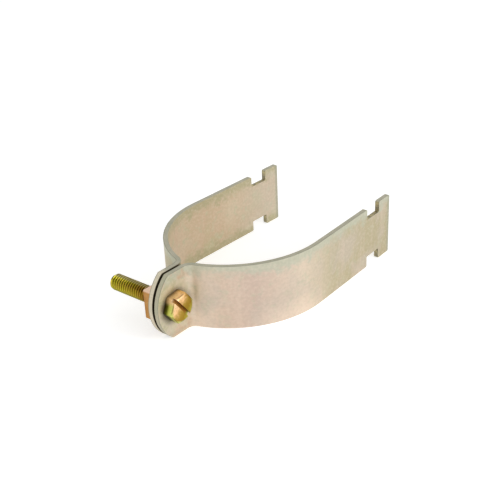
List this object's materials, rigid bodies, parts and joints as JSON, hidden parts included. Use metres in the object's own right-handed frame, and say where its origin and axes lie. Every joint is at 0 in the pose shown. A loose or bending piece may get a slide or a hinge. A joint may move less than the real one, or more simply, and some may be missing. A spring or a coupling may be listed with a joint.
{
  "type": "strut pipe clamp",
  "caption": "Formed strap halves joined at their ears by a slotted hex-head screw and square nut; notched ends hook into strut channel to hold a pipe.",
  "frame": {"origin": "on the resting plane, below the axis of the pipe that the clamp holds, where its straps are widest apart", "axes": "+Z along the pipe, +X from the ears to the hooked ends, +Y along the screw from its head to its tip"},
  "size_m": [0.1345, 0.0782, 0.0318],
  "materials": {
    "strap_plating": "pale iridescent yellow zinc plating, satin",
    "screw_plating": "olive-gold zinc plating, glossy",
    "nut_plating": "copper-gold zinc plating, satin"
  },
  "bodies": {
    "front_strap": {"front_strap": "strap_plating"},
    "clamp_screw": {"clamp_screw": "screw_plating"},
    "square_nut": {"square_nut": "nut_plating"},
    "rear_strap": {"rear_strap": "strap_plating"}
  },
  "joints": [
    {"name": "screw_turn", "type": "hinge", "parent": "front_strap", "child": "clamp_screw", "pos_m": [-0.05874, 0, 0.01588], "axis": [0, -1, 0], "range_deg": [-306.5, 6480.5]},
    {"name": "nut_travel", "type": "slide", "parent": "front_strap", "child": "square_nut", "axis": [0, 1, 0], "range_m": [-0.0012, 0.0254]},
    {"name": "rear_swivel", "type": "hinge", "parent": "square_nut", "child": "rear_strap", "pos_m": [-0.05874, 0, 0.01588], "axis": [0, 1, 0], "continuous": true}
  ],
  "couplings": [
    {"joint": "screw_turn", "follows": "nut_travel", "rad_per_m": 4452.7}
  ]
}
